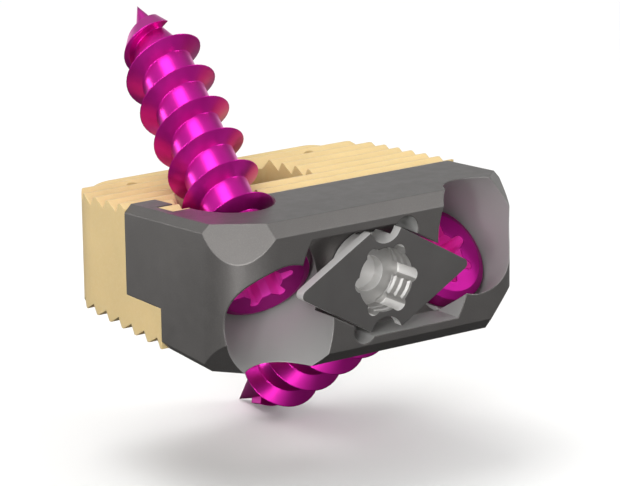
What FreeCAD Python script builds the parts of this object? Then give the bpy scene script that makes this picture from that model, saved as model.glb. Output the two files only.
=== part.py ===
import FreeCAD, Part
import math
import os
import Sketcher

# Stand-alone cervical interbody cage, in millimetres.
# Origin: on the lock's axis, in the plane of the front face.
# +X is to the right of someone who looks at the front face, +Y runs back
# into the disc space and +Z points towards the head.

DOC = FreeCAD.newDocument("cervical_cage")

# Driving dimensions. Angles are in degrees.
SIZES = {
    # Titanium frame
    "frame_width": 16.0,
    "front_height": 6.8,
    "lordosis": 7.0,
    "block_depth": 5.7,
    "front_corner_radius": 2.35,
    "front_edge_chamfer": 0.6,
    "side_edge_chamfer": 0.35,
    "facet_drop": 1.65,
    "facet_angle": 60.0,
    "facet_reach": 5.0,
    # Hooked arms that hold the spacer
    "arm_end": 8.5,
    "arm_thickness": 0.75,
    "hook_thickness": 1.6,
    "hook_length": 1.4,
    "arm_step_height": 1.2,
    "arm_overlap": 0.5,
    # Lock and the pocket that it turns in
    "lock_turn": 30.0,
    "pocket_half_height": 2.43,
    "pocket_depth": 1.6,
    "pocket_sweep_radius": 4.6,
    "relief_radius": 0.6,
    "relief_side": 1.13,
    "relief_up": 2.08,
    "lock_edge_gap": 0.1,
    "lock_tip_radius": 0.25,
    "plate_thickness": 0.5,
    "hub_radius": 1.95,
    "floor_gap": 0.05,
    "notch_radius": 0.85,
    "notch_offset": 2.5,
    "stem_radius": 1.8,
    "stem_gap": 0.05,
    "stem_overlap": 0.1,
    "lock_socket_core": 1.42,
    "lock_socket_lobe": 0.36,
    "lock_socket_reach": 1.68,
    "lock_socket_depth": 1.4,
    "lock_pilot_radius": 0.8,
    "lock_pilot_depth": 1.96,
    # Retaining ring behind the lock
    "ring_thickness": 0.4,
    "ring_outer_radius": 2.25,
    "ring_groove_depth": 0.3,
    "ring_opening": 1.6,
    "ring_gap": 0.05,
    # Bone screws and their seats
    "screw_rise_angle": 36.0,
    "screw_inward_angle": 10.0,
    "head_side": 4.95,
    "head_back": 2.3,
    "head_lift": 0.1,
    "head_radius": 2.25,
    "head_rim": 0.95,
    "head_edge": 0.35,
    "head_edge_depth": 0.2,
    "seat_gap": 0.02,
    "channel_gap": 0.25,
    "shank_gap": 0.1,
    "channel_reach": 14.0,
    "bore_reach": 16.0,
    "screw_length": 16.75,
    "thread_radius": 1.95,
    "core_radius": 1.3,
    "thread_pitch": 1.9,
    "thread_root": 0.85,
    "thread_start": 1.9,
    "thread_foot": 0.4,
    "thread_overrun": 0.2,
    "point_length": 3.4,
    "point_bare": 1.2,
    "screw_socket_core": 0.95,
    "screw_socket_root": 0.66,
    "screw_socket_lobe": 0.34,
    "screw_socket_tip": 0.25,
    "screw_socket_tip_angle": 50.0,
    "screw_socket_reach": 1.45,
    "screw_socket_depth": 1.5,
    "cranial_screw_angle": 22.0,
    "caudal_screw_angle": 32.0,
    # Polymer spacer
    "spacer_end": 14.0,
    "rear_corner_radius": 2.6,
    "tooth_pitch": 1.05,
    "tooth_height": 0.42,
    "tooth_land": 0.14,
    "tooth_lean": 0.3,
    "window_width": 4.3,
    "window_length": 4.4,
    "window_corner": 0.4,
    "window_rear_wall": 1.6,
    # X-ray marker pins
    "marker_radius": 0.4,
    "marker_length": 4.2,
    "marker_side": 4.9,
    "marker_from_end": 1.5,
    "marker_gap": 0.01,
    # How far a cut or a rough block runs past the faces
    "overrun": 1.0,
}

# Each body's volume after its last feature
VOLUMES = {}

SHEET = DOC.addObject("Spreadsheet::Sheet", "Sizes")
for row, (alias, number) in enumerate(SIZES.items(), start=1):
    SHEET.set(f"A{row}", alias)
    SHEET.set(f"B{row}", str(number))
    SHEET.setAlias(f"B{row}", alias)
DOC.recompute()


def size(alias):
    """The number in the cell with this alias."""
    return float(getattr(SHEET, alias))


def cell(text):
    """An expression in which each word that is an alias points at its cell."""
    out = []
    word = ""
    for letter in text + " ":
        if letter.isalnum() or letter == "_":
            word += letter
            continue
        out.append(f"Sizes.{word}" if word in SIZES else word)
        out.append(letter)
        word = ""
    return "".join(out).strip()


def value(text):
    """What such an expression comes to now."""
    return float(SHEET.evalExpression(cell(text)))


def bind(thing, prop, text):
    """Ties one property to the sheet."""
    thing.setExpression(prop, cell(text))


def origin_item(body, role):
    for item in body.Origin.OriginFeatures:
        if item.Role == role:
            return item
    raise RuntimeError(f"{body.Label} has no {role}")


def new_body(label):
    body = DOC.addObject("PartDesign::Body", label)
    body.Label = label
    return body


def new_sketch(body, name, role, at=None, turn=None):
    """A sketch on an origin plane. at is its offset in the plane's own axes."""
    sketch = body.newObject("Sketcher::SketchObject", name)
    sketch.AttachmentSupport = [(origin_item(body, role), "")]
    sketch.MapMode = "FlatFace"
    if turn is not None:
        sketch.AttachmentOffset = FreeCAD.Placement(FreeCAD.Vector(), turn)
    for axis, text in zip("xyz", at or ("0", "0", "0")):
        if text != "0":
            bind(sketch, f"AttachmentOffset.Base.{axis}", text)
    return sketch


def tie_point(sketch, geometry, end, across, up):
    """Fixes one point of a sketch at two expressions from the sketch's origin."""
    for kind, text in (("DistanceX", across), ("DistanceY", up)):
        number = value(text)
        index = sketch.addConstraint(Sketcher.Constraint(kind, -1, 1, geometry, end, number))
        bind(sketch, f"Constraints[{index}]", text)


def draw_outline(sketch, corners):
    """A closed outline.

    Each corner is (across, up), or (across, up, radius, centre across, centre up, turn)
    where the edge that leaves it is an arc, with turn 1 for anticlockwise.
    """
    edges = []
    for here, there in zip(corners, corners[1:] + corners[:1]):
        start = FreeCAD.Vector(value(here[0]), value(here[1]), 0)
        end = FreeCAD.Vector(value(there[0]), value(there[1]), 0)
        if len(here) == 2:
            edges.append((sketch.addGeometry(Part.LineSegment(start, end)), 1, 2))
            continue
        centre = FreeCAD.Vector(value(here[3]), value(here[4]), 0)
        first, last = (start, end) if here[5] > 0 else (end, start)
        begin = math.atan2(first.y - centre.y, first.x - centre.x)
        stop = math.atan2(last.y - centre.y, last.x - centre.x)
        circle = Part.Circle(centre, FreeCAD.Vector(0, 0, 1), value(here[2]))
        index = sketch.addGeometry(Part.ArcOfCircle(circle, begin, stop))
        edges.append((index, 1, 2) if here[5] > 0 else (index, 2, 1))
        radius = sketch.addConstraint(Sketcher.Constraint("Radius", index, value(here[2])))
        bind(sketch, f"Constraints[{radius}]", here[2])
    for (index, start, _), corner in zip(edges, corners):
        tie_point(sketch, index, start, corner[0], corner[1])
    for here, there in zip(edges, edges[1:] + edges[:1]):
        sketch.addConstraint(Sketcher.Constraint("Coincident", here[0], here[2], there[0], there[1]))
    return sketch


def draw_circle(sketch, across, up, radius):
    centre = FreeCAD.Vector(value(across), value(up), 0)
    index = sketch.addGeometry(Part.Circle(centre, FreeCAD.Vector(0, 0, 1), value(radius)))
    rim = sketch.addConstraint(Sketcher.Constraint("Radius", index, value(radius)))
    bind(sketch, f"Constraints[{rim}]", radius)
    tie_point(sketch, index, 3, across, up)
    return sketch


def finish_feature(body, feature, grows):
    """Recomputes, and makes sure that the feature added or removed material."""
    before = VOLUMES.get(body.Name, 0.0)
    body.Tip = feature
    DOC.recompute()
    change = feature.Shape.Volume - before
    if (change > 0) != grows or abs(change) < 1e-6:
        raise RuntimeError(f"{body.Label}.{feature.Label} changed the volume by {change:.4f}")
    VOLUMES[body.Name] = feature.Shape.Volume
    return feature


def pad(body, sketch, length, midplane=False, backwards=False):
    feature = body.newObject("PartDesign::Pad", sketch.Label + "_pad")
    feature.Profile = sketch
    bind(feature, "Length", length)
    feature.Midplane = midplane
    feature.Reversed = backwards
    return finish_feature(body, feature, True)


def pocket(body, sketch, length=None, midplane=False, backwards=False):
    """A cut of this length, or right through where no length is given."""
    feature = body.newObject("PartDesign::Pocket", sketch.Label + "_cut")
    feature.Profile = sketch
    feature.Midplane = midplane
    feature.Reversed = backwards
    if length is None:
        feature.Type = "ThroughAll"
    else:
        bind(feature, "Length", length)
    return finish_feature(body, feature, False)


def spin(body, kind, sketch, grows):
    """A revolution or groove about the sketch's own upright axis."""
    feature = body.newObject(f"PartDesign::{kind}", sketch.Label + "_spin")
    feature.Profile = sketch
    feature.ReferenceAxis = (sketch, ["V_Axis"])
    feature.Angle = 360
    return finish_feature(body, feature, grows)


def half_turn(body, feature, grows=False):
    """Repeats a feature half a turn about the front-to-back axis."""
    return ring_pattern(body, feature, "Y_Axis", 2, grows)


def ring_pattern(body, feature, role, count, grows=False):
    pattern = body.newObject("PartDesign::PolarPattern", feature.Label + "_ring")
    pattern.Originals = [feature]
    pattern.Axis = (origin_item(body, role), [""])
    pattern.Angle = 360
    pattern.Occurrences = count
    return finish_feature(body, pattern, grows)


def turn_about(axis, degrees):
    return FreeCAD.Rotation(FreeCAD.Vector(*axis), degrees)


def screw_axis():
    """Direction of the cranial screw, which rises and leans to the middle."""
    rise = math.radians(size("screw_rise_angle"))
    inward = math.radians(size("screw_inward_angle"))
    level = math.cos(rise)
    return FreeCAD.Vector(level * math.sin(inward), level * math.cos(inward), math.sin(rise))


def screw_frame():
    """Turns the local upright axis to the cranial screw's axis."""
    return FreeCAD.Rotation(FreeCAD.Vector(0, 0, 1), screw_axis())


HEAD_AT = ("-head_side", "head_back", "head_lift")
RING_FRONT = "block_depth - ring_thickness - ring_gap * 3"
HALF_WIDTH = "frame_width / 2"
HALF_HEIGHT = "front_height / 2"
FALL = "tan(lordosis / 2 * 1deg)"


def cut_wedge(body, name, start, end):
    """Trims the top and bottom to the lordotic wedge."""
    low = f"({start}) - overrun"
    high = f"({end}) + overrun"
    sketch = new_sketch(body, name, "YZ_Plane")
    draw_outline(sketch, [
        (low, f"{HALF_HEIGHT} - ({low}) * {FALL}"),
        (high, f"{HALF_HEIGHT} - ({high}) * {FALL}"),
        (high, f"{HALF_HEIGHT} + overrun"),
        (low, f"{HALF_HEIGHT} + overrun"),
    ])
    half_turn(body, pocket(body, sketch, midplane=True))


def cut_screw_bores(body, with_channel):
    """The two angled bores, each with its seat and the driver's channel."""
    bore = "thread_radius + shank_gap"
    channel = "head_radius + channel_gap"
    turn = screw_frame() * turn_about((1, 0, 0), 90)
    sketch = new_sketch(body, "screw_bore", "XY_Plane", HEAD_AT, turn)
    seat = "head_rim - channel_gap + seat_gap * sqrt(2)"
    if with_channel:
        corners = [
            ("0", "-channel_reach"),
            (channel, "-channel_reach"),
            (channel, seat),
            (bore, f"{seat} + {channel} - ({bore})"),
        ]
    else:
        corners = [("0", "-overrun"), (bore, "-overrun")]
    corners += [(bore, "bore_reach"), ("0", "bore_reach")]
    draw_outline(sketch, corners)
    half_turn(body, spin(body, "Groove", sketch, False))


def corner_facets(body):
    """Four flats that slope across the rounded corners of the front."""
    slope = math.radians(size("facet_angle"))
    corner = f"({HALF_WIDTH} - front_corner_radius * (1 - cos(45deg)))"
    across = "front_corner_radius * (1 - cos(45deg))"
    number = 0
    for side in (-1, 1):
        for upper in (-1, 1):
            number += 1
            outward = FreeCAD.Vector(side, -1, 0).normalize() * math.sin(slope)
            outward = outward + FreeCAD.Vector(0, 0, upper * math.cos(slope))
            turn = FreeCAD.Rotation(FreeCAD.Vector(0, 0, 1), outward)
            place = (f"{side} * {corner}", across, f"{upper} * ({HALF_HEIGHT} - facet_drop)")
            sketch = new_sketch(body, f"corner_facet_{number}", "XY_Plane", place, turn)
            draw_outline(sketch, [
                ("-facet_reach", "-facet_reach"),
                ("facet_reach", "-facet_reach"),
                ("facet_reach", "facet_reach"),
                ("-facet_reach", "facet_reach"),
            ])
            pocket(body, sketch, "facet_reach", backwards=True)


def lock_pocket_outline():
    """Room for the lock's plate from locked to open: two stops and two swept ends."""
    tilt = "lock_turn * 1deg"
    middle = "pocket_half_height * tan(lock_turn / 2 * 1deg)"
    sweep = "pocket_sweep_radius"
    side = f"sqrt({sweep} * {sweep} - pocket_half_height * pocket_half_height)"
    # The inclined stop, whose normal leans by the turn from upright, meets the swept end here
    end_x = f"(pocket_half_height * sin({tilt}) + {side} * cos({tilt}))"
    end_z = f"(pocket_half_height * cos({tilt}) - {side} * sin({tilt}))"
    return [
        (f"-({side})", "pocket_half_height"),
        (middle, "pocket_half_height"),
        (end_x, end_z, sweep, "0", "0", -1),
        (side, "-pocket_half_height"),
        (f"-({middle})", "-pocket_half_height"),
        (f"-{end_x}", f"-{end_z}", sweep, "0", "0", -1),
    ]


def make_frame():
    """Titanium block with two hooked arms, screw seats and the lock's pocket."""
    body = new_body("cage_frame")
    radius = "front_corner_radius"
    plan = draw_outline(new_sketch(body, "block_plan", "XY_Plane"), [
        (f"-{HALF_WIDTH}", radius, radius, f"-{HALF_WIDTH} + {radius}", radius, 1),
        (f"-{HALF_WIDTH} + {radius}", "0"),
        (f"{HALF_WIDTH} - {radius}", "0", radius, f"{HALF_WIDTH} - {radius}", radius, 1),
        (HALF_WIDTH, radius),
        (HALF_WIDTH, "block_depth"),
        (f"-{HALF_WIDTH}", "block_depth"),
    ])
    pad(body, plan, "front_height + overrun", midplane=True)

    arm = new_sketch(body, "arm_plan", "XY_Plane", ("0", "0", "-arm_step_height"))
    outside = f"-{HALF_WIDTH}"
    draw_outline(arm, [
        (outside, "block_depth - arm_overlap"),
        (f"{outside} + arm_thickness", "block_depth - arm_overlap"),
        (f"{outside} + arm_thickness", "arm_end - hook_length"),
        (f"{outside} + hook_thickness", "arm_end - hook_length"),
        (f"{outside} + hook_thickness", "arm_end"),
        (outside, "arm_end"),
    ])
    half_turn(body, pad(body, arm, f"{HALF_HEIGHT} + arm_step_height"), True)
    cut_wedge(body, "lordosis", "0", "arm_end")

    corner_facets(body)
    chamfer = "front_edge_chamfer"
    edge = draw_outline(new_sketch(body, "front_edge", "YZ_Plane"), [
        ("-overrun", f"{HALF_HEIGHT} - {chamfer} - overrun"),
        (f"{chamfer} + overrun", f"{HALF_HEIGHT} + overrun"),
        ("-overrun", f"{HALF_HEIGHT} + overrun"),
    ])
    half_turn(body, pocket(body, edge, midplane=True))

    chamfer = "side_edge_chamfer"
    slope = turn_about((1, 0, 0), -size("lordosis") / 2)
    for name, side in (("left_edge", "-1"), ("right_edge", "1")):
        sketch = new_sketch(body, name, "XZ_Plane", ("0", HALF_HEIGHT, "0"), slope)
        draw_outline(sketch, [
            (f"{side} * ({HALF_WIDTH} + overrun)", f"-{chamfer} - overrun"),
            (f"{side} * ({HALF_WIDTH} - {chamfer} - overrun)", "overrun"),
            (f"{side} * ({HALF_WIDTH} + overrun)", "overrun"),
        ])
        half_turn(body, pocket(body, sketch, midplane=True))

    cut_screw_bores(body, True)
    pocket_plan = draw_outline(new_sketch(body, "lock_pocket", "XZ_Plane"), lock_pocket_outline())
    pocket(body, pocket_plan, "pocket_depth")
    relief = draw_circle(
        new_sketch(body, "corner_relief", "XZ_Plane"),
        "relief_side", "relief_up", "relief_radius",
    )
    half_turn(body, pocket(body, relief, "pocket_depth"))
    bore = draw_circle(new_sketch(body, "stem_bore", "XZ_Plane"), "0", "0", "stem_radius + stem_gap")
    pocket(body, bore)
    seat_at = ("0", "0", f"-({RING_FRONT} - ring_gap)")
    seat = draw_circle(
        new_sketch(body, "ring_seat", "XZ_Plane", seat_at),
        "0", "0", "ring_outer_radius + ring_gap * 2",
    )
    pocket(body, seat)
    return body


def cut_teeth(body, upper):
    """A row of ridges along X that follows the wedge, on the top or the bottom."""
    name = "upper_tooth" if upper > 0 else "lower_tooth"
    slope = turn_about((0, 0, 1), -upper * size("lordosis") / 2)
    place = ("block_depth", f"{upper} * ({HALF_HEIGHT} - block_depth * {FALL})", "0")
    sketch = new_sketch(body, name, "YZ_Plane", place, slope)
    start = "tooth_land"
    draw_outline(sketch, [
        (start, "0"),
        (f"{start} + (tooth_pitch - tooth_land) * tooth_lean", f"{-upper} * tooth_height"),
        ("tooth_pitch", "0"),
        ("tooth_pitch", f"{upper} * tooth_height"),
        (start, f"{upper} * tooth_height"),
    ])
    groove = pocket(body, sketch, midplane=True)
    rows = body.newObject("PartDesign::LinearPattern", name + "_rows")
    rows.Originals = [groove]
    rows.Direction = (sketch, ["H_Axis"])
    rows.Occurrences = math.ceil((size("spacer_end") - size("block_depth")) / size("tooth_pitch"))
    bind(rows, "Length", f"tooth_pitch * {rows.Occurrences - 1}")
    finish_feature(body, rows, False)


def make_spacer():
    """Polymer spacer with toothed faces, a graft window and seats for the arms."""
    body = new_body("peek_spacer")
    radius = "rear_corner_radius"
    plan = draw_outline(new_sketch(body, "spacer_plan", "XY_Plane"), [
        (f"-{HALF_WIDTH}", "block_depth"),
        (HALF_WIDTH, "block_depth"),
        (HALF_WIDTH, f"spacer_end - {radius}", radius, f"{HALF_WIDTH} - {radius}",
         f"spacer_end - {radius}", 1),
        (f"{HALF_WIDTH} - {radius}", "spacer_end"),
        (f"-{HALF_WIDTH} + {radius}", "spacer_end", radius, f"-{HALF_WIDTH} + {radius}",
         f"spacer_end - {radius}", 1),
        (f"-{HALF_WIDTH}", f"spacer_end - {radius}"),
    ])
    pad(body, plan, "front_height + overrun", midplane=True)
    cut_wedge(body, "lordosis", "block_depth", "spacer_end")
    cut_teeth(body, 1)
    cut_teeth(body, -1)

    seat = new_sketch(body, "arm_seat", "XY_Plane", ("0", "0", "-arm_step_height"))
    outside = f"-{HALF_WIDTH} - overrun"
    inside = f"-{HALF_WIDTH}"
    draw_outline(seat, [
        (outside, "block_depth - overrun"),
        (f"{inside} + arm_thickness", "block_depth - overrun"),
        (f"{inside} + arm_thickness", "arm_end - hook_length"),
        (f"{inside} + hook_thickness", "arm_end - hook_length"),
        (f"{inside} + hook_thickness", "arm_end"),
        (outside, "arm_end"),
    ])
    half_turn(body, pocket(body, seat, backwards=True))

    half = "window_width / 2"
    radius = "window_corner"
    back = "spacer_end - window_rear_wall"
    front = f"{back} - window_length"
    window = draw_outline(new_sketch(body, "graft_window", "XY_Plane"), [
        (f"-{half} + {radius}", front),
        (f"{half} - {radius}", front, radius, f"{half} - {radius}", f"{front} + {radius}", 1),
        (half, f"{front} + {radius}"),
        (half, f"{back} - {radius}", radius, f"{half} - {radius}", f"{back} - {radius}", 1),
        (f"{half} - {radius}", back),
        (f"-{half} + {radius}", back, radius, f"-{half} + {radius}", f"{back} - {radius}", 1),
        (f"-{half}", f"{back} - {radius}"),
        (f"-{half}", f"{front} + {radius}", radius, f"-{half} + {radius}",
         f"{front} + {radius}", 1),
    ])
    pocket(body, window, midplane=True)
    cut_screw_bores(body, False)
    for name, side in (("left_marker_hole", "-1"), ("right_marker_hole", "1")):
        hole = draw_circle(
            new_sketch(body, name, "XY_Plane"), f"{side} * marker_side",
            "spacer_end - marker_from_end", "marker_radius + marker_gap",
        )
        pocket(body, hole, midplane=True)
    return body


def cut_round_lobes(body):
    """The lock's driver socket: six round lobes on a wide core."""
    middle = draw_circle(new_sketch(body, "socket_core", "XZ_Plane"), "0", "0", "lock_socket_core")
    pocket(body, middle, "lock_socket_depth")
    lobe = draw_circle(
        new_sketch(body, "socket_lobe", "XZ_Plane"),
        "lock_socket_reach - lock_socket_lobe", "0", "lock_socket_lobe",
    )
    ring_pattern(body, pocket(body, lobe, "lock_socket_depth"), "Y_Axis", 6)


def cut_star_lobes(body):
    """A screw's driver socket: six narrow lobes that taper outward."""
    middle = draw_circle(new_sketch(body, "socket_core", "XY_Plane"), "0", "0", "screw_socket_core")
    pocket(body, middle, "screw_socket_depth", backwards=True)
    root = "screw_socket_root"
    tip = "screw_socket_tip"
    nose = f"screw_socket_reach - {tip} * (1 - cos(screw_socket_tip_angle * 1deg))"
    half = f"{tip} * sin(screw_socket_tip_angle * 1deg)"
    lobe = draw_outline(new_sketch(body, "socket_lobe", "XY_Plane"), [
        (root, "-screw_socket_lobe"),
        (nose, f"-{half}", tip, f"screw_socket_reach - {tip}", "0", 1),
        (nose, half),
        (root, "screw_socket_lobe"),
    ])
    first = pocket(body, lobe, "screw_socket_depth", backwards=True)
    ring_pattern(body, first, "Z_Axis", 6)


def make_lock():
    """Rhombic plate on a hub and stem, with a notch at its top and bottom."""
    body = new_body("lock_cam")
    tilt = "lock_turn * 1deg"
    reach = "(pocket_half_height - lock_edge_gap)"
    point = f"({reach} / sin({tilt}))"
    crown = f"({reach} / cos({tilt}))"
    radius = "lock_tip_radius"
    centre = f"({point} - {radius} / sin({tilt}))"
    touch = f"({centre} + {radius} * sin({tilt}))"
    side = f"({radius} * cos({tilt}))"
    plate = draw_outline(new_sketch(body, "plate", "XZ_Plane"), [
        ("0", f"-{crown}"),
        (touch, f"-{side}", radius, centre, "0", 1),
        (touch, side),
        ("0", crown),
        (f"-{touch}", side, radius, f"-{centre}", "0", 1),
        (f"-{touch}", f"-{side}"),
    ])
    pad(body, plate, "plate_thickness", backwards=True)
    hub = draw_circle(
        new_sketch(body, "hub", "XZ_Plane", ("0", "0", "-plate_thickness")), "0", "0", "hub_radius"
    )
    pad(body, hub, "pocket_depth - plate_thickness - floor_gap", backwards=True)
    notch = draw_circle(new_sketch(body, "notch", "XZ_Plane"), "0", "notch_offset", "notch_radius")
    half_turn(body, pocket(body, notch))

    rear = "block_depth - ring_gap"
    front = "pocket_depth - floor_gap"
    neck = "stem_radius - ring_groove_depth"
    stem = draw_outline(new_sketch(body, "stem", "XY_Plane"), [
        ("0", f"{front} - stem_overlap"),
        ("stem_radius", f"{front} - stem_overlap"),
        ("stem_radius", f"{RING_FRONT} - ring_gap"),
        (neck, f"{RING_FRONT} - ring_gap"),
        (neck, f"{RING_FRONT} + ring_thickness + ring_gap"),
        ("stem_radius", f"{RING_FRONT} + ring_thickness + ring_gap"),
        ("stem_radius", rear),
        ("0", rear),
    ])
    spin(body, "Revolution", stem, True)
    cut_round_lobes(body)
    pilot = draw_circle(new_sketch(body, "pilot", "XZ_Plane"), "0", "0", "lock_pilot_radius")
    pocket(body, pilot, "lock_pilot_depth")
    return body


def make_ring():
    """Open spring ring in the stem's groove."""
    body = new_body("lock_retaining_ring")
    place = ("0", "0", f"-({RING_FRONT})")
    disc = draw_circle(new_sketch(body, "disc", "XZ_Plane", place), "0", "0", "ring_outer_radius")
    pad(body, disc, "ring_thickness", backwards=True)
    hole = draw_circle(
        new_sketch(body, "hole", "XZ_Plane"), "0", "0", "stem_radius - ring_groove_depth + ring_gap"
    )
    pocket(body, hole)
    half = "ring_opening / 2"
    opening = draw_outline(new_sketch(body, "opening", "XZ_Plane"), [
        (f"-{half}", "0"),
        (half, "0"),
        (half, "ring_outer_radius + overrun"),
        (f"-{half}", "ring_outer_radius + overrun"),
    ])
    pocket(body, opening)
    return body


def make_screw(label, angle_name, mirrored):
    """Self-drilling bone screw: coarse thread, tapered point, six-lobed socket."""
    body = new_body(label)
    rim = "head_rim"
    taper = f"{rim} + head_radius - core_radius"
    shank = draw_outline(new_sketch(body, "shank", "XZ_Plane"), [
        ("0", "0"),
        ("head_radius - head_edge", "0"),
        ("head_radius", "head_edge_depth"),
        ("head_radius", rim),
        ("core_radius", taper),
        ("core_radius", "screw_length - point_length"),
        ("0", "screw_length"),
    ])
    spin(body, "Revolution", shank, True)
    cut_star_lobes(body)
    tooth = draw_outline(new_sketch(body, "thread_tooth", "XZ_Plane"), [
        ("thread_foot", "thread_start"),
        ("core_radius", "thread_start"),
        ("thread_radius", "thread_start + thread_root / 2"),
        ("core_radius", "thread_start + thread_root"),
        ("thread_foot", "thread_start + thread_root"),
    ])
    DOC.recompute()
    helix = body.newObject("PartDesign::AdditiveHelix", "thread")
    helix.Profile = tooth
    helix.ReferenceAxis = (tooth, ["V_Axis"])
    helix.Mode = "pitch-height-angle"
    bind(helix, "Pitch", "thread_pitch")
    bind(helix, "Height", "screw_length - thread_start - thread_root - point_bare")
    finish_feature(body, helix, True)
    trim = draw_outline(new_sketch(body, "point_trim", "XZ_Plane"), [
        ("thread_radius * 2", "screw_length - point_length * 2 - thread_overrun"),
        ("0", "screw_length + thread_overrun"),
        ("0", "screw_length + point_length"),
        ("thread_radius * 2", "screw_length + point_length"),
    ])
    spin(body, "Groove", trim, False)
    side = -1 if mirrored else 1
    at = FreeCAD.Vector(-size("head_side") * side, size("head_back"), size("head_lift") * side)
    turn = screw_frame() * turn_about((0, 0, 1), size(angle_name))
    if mirrored:
        turn = turn_about((0, 1, 0), 180) * turn
    body.Placement = FreeCAD.Placement(at, turn)
    return body


def make_marker(label, side):
    """Dense metal pin that shows the spacer's rear edge on an X-ray."""
    pin = DOC.addObject("Part::Cylinder", label)
    pin.Label = label
    bind(pin, "Radius", "marker_radius")
    bind(pin, "Height", "marker_length")
    bind(pin, "Placement.Base.x", f"{side} * marker_side")
    bind(pin, "Placement.Base.y", "spacer_end - marker_from_end")
    bind(pin, "Placement.Base.z", "-marker_length / 2")
    return pin


NODES = [
    make_frame(),
    make_spacer(),
    make_lock(),
    make_ring(),
    make_screw("screw_cranial", "cranial_screw_angle", False),
    make_screw("screw_caudal", "caudal_screw_angle", True),
    make_marker("marker_pin_left", -1),
    make_marker("marker_pin_right", 1),
]
DOC.recompute()

for item in DOC.Objects:
    if "Invalid" in item.State or "Error" in item.State:
        raise RuntimeError(f"{item.Label} did not compute")
for node in NODES:
    if node.Shape.isNull() or not node.Shape.isValid():
        raise RuntimeError(f"{node.Label} has no valid shape")

os.makedirs("parts", exist_ok=True)
for node in NODES:
    node.Shape.exportStep(f"parts/{node.Label}.step")
    print(f"{node.Label}: {len(node.Shape.Solids)} solid, {node.Shape.Volume:.2f} mm3")
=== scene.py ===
import math

import bmesh
import bpy
from mathutils import Matrix, Vector


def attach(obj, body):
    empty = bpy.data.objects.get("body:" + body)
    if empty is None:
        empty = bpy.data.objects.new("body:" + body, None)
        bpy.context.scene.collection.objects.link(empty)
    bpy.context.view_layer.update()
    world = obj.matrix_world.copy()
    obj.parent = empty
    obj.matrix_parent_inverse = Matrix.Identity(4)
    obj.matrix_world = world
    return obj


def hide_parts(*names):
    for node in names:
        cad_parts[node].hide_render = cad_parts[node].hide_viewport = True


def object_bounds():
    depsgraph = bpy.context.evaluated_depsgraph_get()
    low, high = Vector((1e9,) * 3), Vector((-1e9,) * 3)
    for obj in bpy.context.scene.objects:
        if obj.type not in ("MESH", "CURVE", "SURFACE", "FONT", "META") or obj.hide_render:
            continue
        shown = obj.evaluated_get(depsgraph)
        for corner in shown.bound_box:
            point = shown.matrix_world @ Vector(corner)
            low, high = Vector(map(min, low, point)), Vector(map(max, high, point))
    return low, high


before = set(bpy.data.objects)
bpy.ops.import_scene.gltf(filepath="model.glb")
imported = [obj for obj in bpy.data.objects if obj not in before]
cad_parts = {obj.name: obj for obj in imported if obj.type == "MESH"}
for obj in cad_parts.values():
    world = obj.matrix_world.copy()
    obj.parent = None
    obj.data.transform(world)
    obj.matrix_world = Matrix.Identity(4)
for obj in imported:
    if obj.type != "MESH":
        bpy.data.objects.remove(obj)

MM = 0.001
CAD_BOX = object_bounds()

# The photograph's camera, as fitted to the cage's corners
IMAGE_WIDTH = 620
PHOTO_FOCAL = 1500.0
ENLARGEMENT = 2.32
SENSOR = 36.0
CAMERA_PLACE = Vector((-85.645, -117.328, 41.416)) * MM
CAMERA_TARGET = Vector((-0.4, 5.2, 0.6)) * MM
CAMERA_ROLL = -0.75
CAMERA_NEAR = 0.01
CAMERA_FAR = 10.0

# Lamps that face the cage: name, place, width and height in millimetres, and watts
LAMPS = (
    ("key", (-195, -190, 120), 50, 90, 0.32),
    ("corner", (-215, -140, 12), 24, 90, 0.26),
    ("strip", (-165, 235, 12), 40, 80, 0.10),
    ("top", (-60, 60, 300), 180, 180, 0.42),
    ("fill", (235, -140, 185), 100, 100, 0.28),
    ("front", (-100, -270, 60), 70, 70, 0.14),
)

# The sky brightens from low to high along its lean, and is white near the horizon
SKY_LEAN = (-0.45, -0.10, 0.88)
SKY_FROM = -0.6
SKY_TO = 0.9
SKY_LOW = 0.07
SKY_HIGH = 0.85
HORIZON_LOW = 0.10
HORIZON_TOP = 0.30

# The floor, in metres
FLOOR_REACH = 2.0
FLOOR_FADE_START = 0.025
FLOOR_FADE_END = 0.16

# Colours, from 0 to 1
WHITE = (1.0, 1.0, 1.0)
TITANIUM = (0.150, 0.143, 0.138)
# Partly the machined finish and partly painted light: the lighter grey of the frame's bores and
# pocket walls
MACHINED_TITANIUM_AND_PAINTED_LIGHT = (0.325, 0.325, 0.316)
LOCK_FACE = (0.160, 0.154, 0.150)
# Partly the machined finish and partly painted light: the lock's pale edges, notches and pilot
# hole, and its lighter socket
LOCK_EDGE_MACHINED_AND_PAINTED_LIGHT = (0.74, 0.73, 0.715)
LOCK_SOCKET_MACHINED_AND_PAINTED_LIGHT = (0.44, 0.432, 0.42)
MAGENTA = (0.64, 0.018, 0.37)
MAGENTA_DEEP = (0.54, 0.011, 0.30)
# Painted highlight: a lighter magenta inside the drivers' sockets
SOCKET_PAINTED_HIGHLIGHT = (0.96, 0.07, 0.64)
# Painted shade: a deeper magenta on the screw heads' faces
HEAD_FACE_PAINTED_SHADE = (0.42, 0.008, 0.245)
PEEK = (0.625, 0.468, 0.224)
PEEK_LIGHT = (0.70, 0.58, 0.34)
TANTALUM = (0.33, 0.33, 0.35)
FLOOR_COLOUR = (0.86, 0.86, 0.85)
FLOOR_BENEATH = (0.10, 0.10, 0.10)

# Light that goes into the polymer: its share, and its reach in metres for each colour
PEEK_GLOW = 0.12
PEEK_GLOW_REACH = (0.0009, 0.0006, 0.0003)

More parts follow.
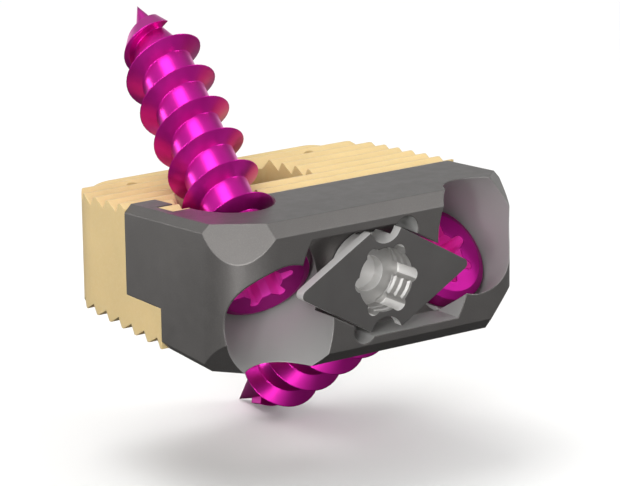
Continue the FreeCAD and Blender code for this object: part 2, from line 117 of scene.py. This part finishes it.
# Where the machined surfaces of the frame, the lock and the screws lie, in millimetres
HEAD_AT = (-4.95, 2.3, 0.1)
SCREW_AXIS = (0.1405, 0.7967, 0.5878)
CHANNEL_RADIUS = 2.5
BORE_RADIUS = 2.05
SEAT_DEPTH = 1.2
POCKET_SIZE = (4.65, 1.6, 2.75)
LOCK_PILOT_RADIUS = 0.81
LOCK_SOCKET_REACH = 1.62
SCREW_SOCKET_REACH = 1.47
SCREW_SOCKET_DEPTH = 1.52
HEAD_RADIUS = 2.3
HEAD_FACE_DEPTH = 0.19
RADIUS_MARGIN = 0.004
LOCK_FACE_MARGIN = 0.012
POCKET_MARGIN = 0.02
FACE_MARGIN = 0.03

# The inserter's thread on the lands of the lock's socket, in millimetres
THREAD_PITCH = 0.5
THREAD_CREST = 1.34
THREAD_ROOT = 1.51
THREAD_WIDTH = 0.42
THREAD_START = -0.3
THREAD_END = 1.3
THREAD_STEPS = 48
MERGE_DISTANCE = 0.0005
SHARP_ANGLE = 30


class Nodes:
    """A node tree, with short ways to add and join its nodes."""

    def __init__(self, tree):
        self.nodes = tree.nodes
        self.links = tree.links

    def node(self, kind, **settings):
        made = self.nodes.new("ShaderNode" + kind)
        for key, setting in settings.items():
            if key in made.inputs:
                made.inputs[key].default_value = setting
            else:
                setattr(made, key, setting)
        return made

    def ramp(self, source, low, high, start=0.3, end=0.7):
        """A number that runs from low to high."""
        made = self.node("MapRange", clamp=True)
        settings = {"From Min": start, "From Max": end, "To Min": low, "To Max": high}
        for name, setting in settings.items():
            made.inputs[name].default_value = setting
        self.links.new(source, made.inputs["Value"])
        return made.outputs["Result"]

    def math(self, operation, first, second=0.0):
        made = self.node("Math", operation=operation)
        for index, source in enumerate((first, second)):
            if isinstance(source, bpy.types.NodeSocket):
                self.links.new(source, made.inputs[index])
            else:
                made.inputs[index].default_value = source
        return made.outputs[0]

    def vector(self, operation, first, second=None, output="Vector"):
        made = self.node("VectorMath", operation=operation)
        self.links.new(first, made.inputs[0])
        if second is not None:
            made.inputs[1].default_value = second
        return made.outputs[output]

    def split(self, source):
        """A vector's x, y and z."""
        made = self.node("SeparateXYZ")
        self.links.new(source, made.inputs[0])
        return made.outputs[0], made.outputs[1], made.outputs[2]

    def seen_or_mirrored(self):
        """1 for what the camera, a mirror or glass sees, 0 for light that falls on the object."""
        path = self.node("LightPath")
        seen = self.math("MAXIMUM", path.outputs["Is Camera Ray"], path.outputs["Is Glossy Ray"])
        return self.math("MAXIMUM", seen, path.outputs["Is Transmission Ray"])

    def blend_to_output(self, factor, first, second, output):
        """Joins two shaders, and sends them to the tree's output."""
        made = self.node("MixShader")
        for index, source in enumerate((factor, first.outputs[0], second.outputs[0])):
            self.links.new(source, made.inputs[index])
        self.links.new(made.outputs[0], self.nodes[output].inputs["Surface"])


class Finish(Nodes):
    """One procedural material on Object coordinates."""

    def __init__(self, name):
        self.material = bpy.data.materials.new(name)
        self.material.use_nodes = True
        super().__init__(self.material.node_tree)
        self.shader = self.nodes["Principled BSDF"]
        self.place = self.node("TexCoord").outputs["Object"]

    def noise(self, size_mm, detail=3.0, stretch=None):
        """Noise whose features are about this many millimetres across."""
        pattern = self.node("TexNoise", Scale=1.0 / (size_mm * MM), Detail=detail)
        source = self.place
        if stretch:
            mapping = self.node("Mapping", Scale=stretch)
            self.links.new(source, mapping.inputs["Vector"])
            source = mapping.outputs["Vector"]
        self.links.new(source, pattern.inputs["Vector"])
        return pattern.outputs["Fac"]

    def mix(self, factor, first, second):
        """A colour between two others, each given as plain numbers or a socket."""
        made = self.node("Mix", data_type="RGBA")
        self.links.new(factor, made.inputs[0])
        for slot, colour in ((6, first), (7, second)):
            if isinstance(colour, tuple):
                made.inputs[slot].default_value = (*colour, 1.0)
            else:
                self.links.new(colour, made.inputs[slot])
        return made.outputs[2]

    def clouded(self, colour, size_mm, darkest, lightest):
        """A colour that wanders a little in brightness."""
        cloud = self.ramp(self.noise(size_mm), 0.0, 1.0)
        return self.mix(cloud, shade(colour, darkest), shade(colour, lightest))

    def bump(self, source, height_mm, strength, normal):
        made = self.node("Bump", Strength=strength, Distance=height_mm * MM)
        self.links.new(source, made.inputs["Height"])
        self.links.new(normal, made.inputs["Normal"])
        return made.outputs["Normal"]

    def soft_edges(self, radius_mm):
        """A small edge break, as a tumbled or blasted part has."""
        return self.node("Bevel", samples=6, Radius=radius_mm * MM).outputs["Normal"]

    def from_axis(self, point_mm, axis):
        """The distance from an axis and the distance along it."""
        offset = self.vector("SUBTRACT", self.place, tuple(c * MM for c in point_mm))
        across = self.vector("CROSS_PRODUCT", offset, axis)
        away = self.vector("LENGTH", across, output="Value")
        return away, self.vector("DOT_PRODUCT", offset, axis, "Value")

    def from_screws(self):
        """The same two distances for each screw's axis, from its head."""
        for side in (1, -1):
            point = (side * HEAD_AT[0], HEAD_AT[1], side * HEAD_AT[2])
            axis = (side * SCREW_AXIS[0], SCREW_AXIS[1], side * SCREW_AXIS[2])
            yield self.from_axis(point, axis)

    def under(self, source, limit_mm):
        return self.math("LESS_THAN", source, limit_mm * MM)

    def over(self, source, limit_mm):
        return self.math("GREATER_THAN", source, limit_mm * MM)

    def every(self, *masks):
        """1 where every mask is 1."""
        total = masks[0]
        for mask in masks[1:]:
            total = self.math("MULTIPLY", total, mask)
        return total

    def either(self, *masks):
        """1 where any mask is 1."""
        total = masks[0]
        for mask in masks[1:]:
            total = self.math("MAXIMUM", total, mask)
        return total

    def shifted(self, value, mask, change):
        """A value that differs by this change where the mask is 1."""
        return self.math("ADD", value, self.math("MULTIPLY", mask, change))

    def tool_marks(self, along, spacing_mm):
        """Fine turning lines along an axis."""
        lines = self.node("TexNoise", noise_dimensions="1D", Detail=2.0)
        turns = self.math("MULTIPLY", along, 1.0 / (spacing_mm * MM))
        self.links.new(turns, lines.inputs["W"])
        return lines.outputs["Fac"]

    def set(self, **sockets):
        """Gives the shader's sockets their colours, numbers or sources."""
        for name, source in sockets.items():
            socket = self.shader.inputs[name.replace("_", " ")]
            if isinstance(source, bpy.types.NodeSocket):
                self.links.new(source, socket)
            elif isinstance(source, tuple):
                socket.default_value = (*source, 1.0)
            else:
                socket.default_value = source
        return self.material


def shade(colour, factor):
    return tuple(min(1.0, part * factor) for part in colour)


def blasted_titanium():
    """Blasted outside; the bores and the pocket's walls are machined, and their lighter colour is
    partly painted light.
    """
    finish = Finish("blasted_titanium")
    grain = finish.noise(size_mm=0.05, detail=2.0)
    sparkle = finish.ramp(grain, low=0.0, high=0.25, start=0.45, end=0.75)
    colour = finish.clouded(TITANIUM, size_mm=3.0, darkest=0.94, lightest=1.06)
    colour = finish.mix(sparkle, colour, shade(TITANIUM, 1.6))
    bores = []
    marks = []
    for away, along in finish.from_screws():
        channel = finish.under(away, CHANNEL_RADIUS + RADIUS_MARGIN)
        behind_seat = finish.over(along, SEAT_DEPTH)
        past_bore = finish.over(away, BORE_RADIUS + RADIUS_MARGIN)
        cut = finish.math("SUBTRACT", 1.0, finish.every(behind_seat, past_bore))
        bores.append(finish.every(channel, cut))
        marks.append(finish.every(finish.tool_marks(along, spacing_mm=0.05), bores[-1]))
    across, back, up = finish.split(finish.place)
    # the pocket's walls, short of its floor, take the lighter colour, partly painted light
    pocket = finish.every(
        finish.over(back, FACE_MARGIN),
        finish.under(back, POCKET_SIZE[1] - POCKET_MARGIN),
        finish.under(finish.math("ABSOLUTE", across), POCKET_SIZE[0]),
        finish.under(finish.math("ABSOLUTE", up), POCKET_SIZE[2]))
    machined = finish.either(*bores, pocket)
    rough = finish.ramp(finish.noise(size_mm=0.6), low=0.42, high=0.48)
    normal = finish.bump(grain, height_mm=0.005, strength=0.35, normal=finish.soft_edges(0.07))
    normal = finish.bump(finish.math("ADD", *marks), height_mm=0.002, strength=0.6, normal=normal)
    return finish.set(
        Base_Color=finish.mix(machined, colour, MACHINED_TITANIUM_AND_PAINTED_LIGHT),
        Metallic=finish.shifted(0.9, machined, -0.68),
        Roughness=finish.shifted(rough, machined, 0.08),
        Normal=normal)


def lock_titanium():
    """A dull front face over machined edges, notches, socket and pilot hole; their lighter
    colours are partly painted light.
    """
    finish = Finish("lock_titanium")
    away, along = finish.from_axis((0, 0, 0), (0, 1, 0))
    machined = finish.over(along, LOCK_FACE_MARGIN)
    socket = finish.every(machined, finish.over(away, LOCK_PILOT_RADIUS),
                          finish.under(away, LOCK_SOCKET_REACH))
    edge = finish.math("SUBTRACT", machined, socket)
    colour = finish.clouded(LOCK_FACE, size_mm=1.8, darkest=0.95, lightest=1.07)
    # the machined edges and socket take lighter colours, partly painted light
    colour = finish.mix(edge, finish.mix(socket, colour, LOCK_SOCKET_MACHINED_AND_PAINTED_LIGHT), LOCK_EDGE_MACHINED_AND_PAINTED_LIGHT)
    normal = finish.bump(finish.noise(size_mm=0.06, detail=2.0), height_mm=0.002,
                         strength=0.35, normal=finish.soft_edges(0.03))
    return finish.set(
        Base_Color=colour,
        Metallic=finish.shifted(finish.shifted(0.9, edge, -0.6), socket, -0.12),
        Roughness=finish.shifted(0.42, socket, 0.10),
        Normal=normal)


def anodised_titanium():
    """Dyed metal, with painted shade on the heads' faces and a painted highlight inside the
    drivers' sockets.
    """
    finish = Finish("magenta_anodised_titanium")
    sockets = []
    faces = []
    for away, along in finish.from_screws():
        sockets.append(finish.every(finish.under(away, SCREW_SOCKET_REACH),
                                    finish.over(along, FACE_MARGIN),
                                    finish.under(along, SCREW_SOCKET_DEPTH)))
        faces.append(finish.every(finish.under(away, HEAD_RADIUS),
                                  finish.under(along, HEAD_FACE_DEPTH)))
    socket = finish.either(*sockets)
    face = finish.either(*faces)
    film = finish.ramp(finish.noise(size_mm=2.0), low=0.0, high=1.0)
    colour = finish.mix(film, MAGENTA_DEEP, MAGENTA)
    # painted shade: the heads' faces take a deeper magenta
    colour = finish.mix(face, colour, HEAD_FACE_PAINTED_SHADE)
    rough = finish.ramp(finish.noise(size_mm=0.4), low=0.29, high=0.34)
    normal = finish.bump(finish.noise(size_mm=0.08, detail=2.0), height_mm=0.001,
                         strength=0.2, normal=finish.soft_edges(0.06))
    return finish.set(
        # painted highlight: the drivers' sockets take a lighter magenta
        Base_Color=finish.mix(socket, colour, SOCKET_PAINTED_HIGHLIGHT),
        Metallic=finish.shifted(0.94, socket, -0.64),
        Roughness=finish.shifted(rough, face, 0.22),
        Normal=normal)


def machined_peek():
    """Tan polymer with pale flecks and fine milling lines."""
    finish = Finish("machined_peek")
    fleck = finish.noise(size_mm=0.12, detail=4.0)
    fleck = finish.ramp(fleck, low=0.0, high=0.25, start=0.5, end=0.8)
    colour = finish.clouded(PEEK, size_mm=2.2, darkest=0.96, lightest=1.05)
    lines = finish.noise(size_mm=0.09, stretch=(0.25, 1.0, 1.0))
    glow = finish.shader.inputs
    glow["Subsurface Weight"].default_value = PEEK_GLOW
    glow["Subsurface Radius"].default_value = PEEK_GLOW_REACH
    glow["Subsurface Scale"].default_value = 1.0
    return finish.set(
        Base_Color=finish.mix(fleck, colour, PEEK_LIGHT),
        Roughness=finish.ramp(finish.noise(size_mm=0.2), low=0.42, high=0.56),
        Normal=finish.bump(lines, height_mm=0.006, strength=0.5,
                           normal=finish.soft_edges(0.05)))


def tantalum():
    finish = Finish("tantalum")
    cloud = finish.noise(size_mm=0.5)
    return finish.set(
        Base_Color=finish.mix(cloud, shade(TANTALUM, 0.9), shade(TANTALUM, 1.1)),
        Metallic=1.0,
        Roughness=finish.ramp(finish.noise(size_mm=0.2), low=0.30, high=0.45))


def dress(node, material):
    """Gives a carried-over solid its finish."""
    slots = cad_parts[node].data.materials
    slots.clear()
    slots.append(material)


def linked(name, form):
    """A new object from a bmesh, which is freed."""
    mesh = bpy.data.meshes.new(name)
    form.to_mesh(mesh)
    form.free()
    made = bpy.data.objects.new(name, mesh)
    bpy.context.collection.objects.link(made)
    return made


def thread_cutter():
    """A V-shaped groove wound about the front-to-back axis."""
    form = bmesh.new()
    half = THREAD_WIDTH / 2
    places = (
        (THREAD_CREST, THREAD_START - half, 0),
        (THREAD_ROOT, THREAD_START, 0),
        (THREAD_CREST, THREAD_START + half, 0))
    corners = [form.verts.new(Vector(place) * MM) for place in places]
    edges = [form.edges.new((corners[i - 1], corners[i])) for i in range(len(corners))]
    turns = (THREAD_END - THREAD_START) / THREAD_PITCH
    steps = round(THREAD_STEPS * turns)
    advance = (THREAD_END - THREAD_START) / steps * MM
    bmesh.ops.spin(form, geom=corners + edges, cent=(0, 0, 0), axis=(0, 1, 0),
                   dvec=(0, advance, 0), angle=math.tau * turns, steps=steps)
    bmesh.ops.holes_fill(form, edges=form.edges, sides=len(corners))
    bmesh.ops.recalc_face_normals(form, faces=form.faces)
    return linked("thread_cutter", form)


def threaded_lock(material):
    """The lock with the inserter's thread cut into the lands of its socket."""
    form = bmesh.new()
    form.from_mesh(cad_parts["lock_cam"].data)
    bmesh.ops.remove_doubles(form, verts=form.verts, dist=MERGE_DISTANCE * MM)
    lock = linked("threaded_lock", form)
    cutter = thread_cutter()
    cut = lock.modifiers.new("thread", "BOOLEAN")
    cut.operation = "DIFFERENCE"
    cut.solver = "EXACT"
    cut.object = cutter
    evaluated = lock.evaluated_get(bpy.context.evaluated_depsgraph_get())
    mesh = bpy.data.meshes.new_from_object(evaluated)
    lock.modifiers.clear()
    lock.data = mesh
    bpy.data.objects.remove(cutter)
    if "custom_normal" in mesh.attributes:
        mesh.attributes.remove(mesh.attributes["custom_normal"])
    mesh.shade_smooth()
    mesh.set_sharp_from_angle(angle=math.radians(SHARP_ANGLE))
    mesh.materials.clear()
    mesh.materials.append(material)
    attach(lock, "lock")
    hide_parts("lock_cam")


def pale_floor(level):
    """A wide plane that keeps the shadow and fades to white with distance."""
    form = bmesh.new()
    bmesh.ops.create_grid(form, x_segments=1, y_segments=1, size=FLOOR_REACH)
    floor = linked("floor", form)
    floor.location = (0, 0, level)
    finish = Finish("pale_floor")
    distance = finish.vector("LENGTH", finish.place, output="Value")
    fade = finish.ramp(distance, 0.0, 1.0, FLOOR_FADE_START, FLOOR_FADE_END)
    direct = finish.node("LightPath").outputs["Is Camera Ray"]
    finish.set(
        Base_Color=finish.mix(direct, FLOOR_BENEATH, FLOOR_COLOUR),
        Specular_IOR_Level=0.1,
        Roughness=0.9)
    white = finish.node("Emission", Color=(*WHITE, 1.0), Strength=1.0)
    seen = finish.every(fade, finish.seen_or_mirrored())
    finish.blend_to_output(seen, finish.shader, white, "Material Output")
    floor.data.materials.append(finish.material)


def soft_box(name, place_mm, width_mm, height_mm, watts):
    """A rectangular lamp that faces the cage."""
    light = bpy.data.lights.new(name, "AREA")
    light.shape = "RECTANGLE"
    light.size = width_mm * MM
    light.size_y = height_mm * MM
    light.energy = watts
    lamp = bpy.data.objects.new(name, light)
    lamp.location = Vector(place_mm) * MM
    aim = CAMERA_TARGET - lamp.location
    lamp.rotation_euler = aim.to_track_quat("-Z", "Y").to_euler()
    bpy.context.collection.objects.link(lamp)


def studio_sky():
    """A sky that is brighter above and on the left, and white near the horizon."""
    world = bpy.data.worlds.new("studio")
    world.use_nodes = True
    sky = Nodes(world.node_tree)
    direction = sky.node("TexCoord").outputs["Generated"]
    lean = sky.vector("DOT_PRODUCT", direction, SKY_LEAN, "Value")
    level = sky.ramp(lean, SKY_LOW, SKY_HIGH, SKY_FROM, SKY_TO)
    surround = sky.nodes["Background"]
    surround.inputs["Color"].default_value = (*WHITE, 1.0)
    sky.links.new(level, surround.inputs["Strength"])
    backdrop = sky.node("Background", Color=(*WHITE, 1.0))
    height = sky.split(direction)[2]
    low = sky.ramp(height, 0.0, 1.0, HORIZON_TOP, HORIZON_LOW)
    wall = sky.math("MULTIPLY", sky.seen_or_mirrored(), low)
    sky.blend_to_output(wall, surround, backdrop, "World Output")
    bpy.context.scene.world = world


def photo_camera():
    data = bpy.data.cameras.new("photo_camera")
    data.sensor_width = SENSOR
    data.lens = SENSOR * PHOTO_FOCAL * ENLARGEMENT / IMAGE_WIDTH
    data.clip_start = CAMERA_NEAR
    data.clip_end = CAMERA_FAR
    camera = bpy.data.objects.new("photo_camera", data)
    turn = (CAMERA_PLACE - CAMERA_TARGET).to_track_quat("Z", "Y").to_matrix().to_4x4()
    roll = Matrix.Rotation(math.radians(CAMERA_ROLL), 4, "Z")
    camera.matrix_world = Matrix.Translation(CAMERA_PLACE) @ turn @ roll
    bpy.context.collection.objects.link(camera)
    bpy.context.scene.camera = camera


dress("cage_frame", blasted_titanium())
dress("peek_spacer", machined_peek())
lock_finish = lock_titanium()
threaded_lock(lock_finish)
dress("lock_retaining_ring", lock_finish)
screw_finish = anodised_titanium()
dress("screw_cranial", screw_finish)
dress("screw_caudal", screw_finish)
pin_finish = tantalum()
dress("marker_pin_left", pin_finish)
dress("marker_pin_right", pin_finish)

for lamp in LAMPS:
    soft_box(*lamp)
studio_sky()
pale_floor(CAD_BOX[0].z)
photo_camera()
bpy.context.scene.view_settings.view_transform = "Standard"
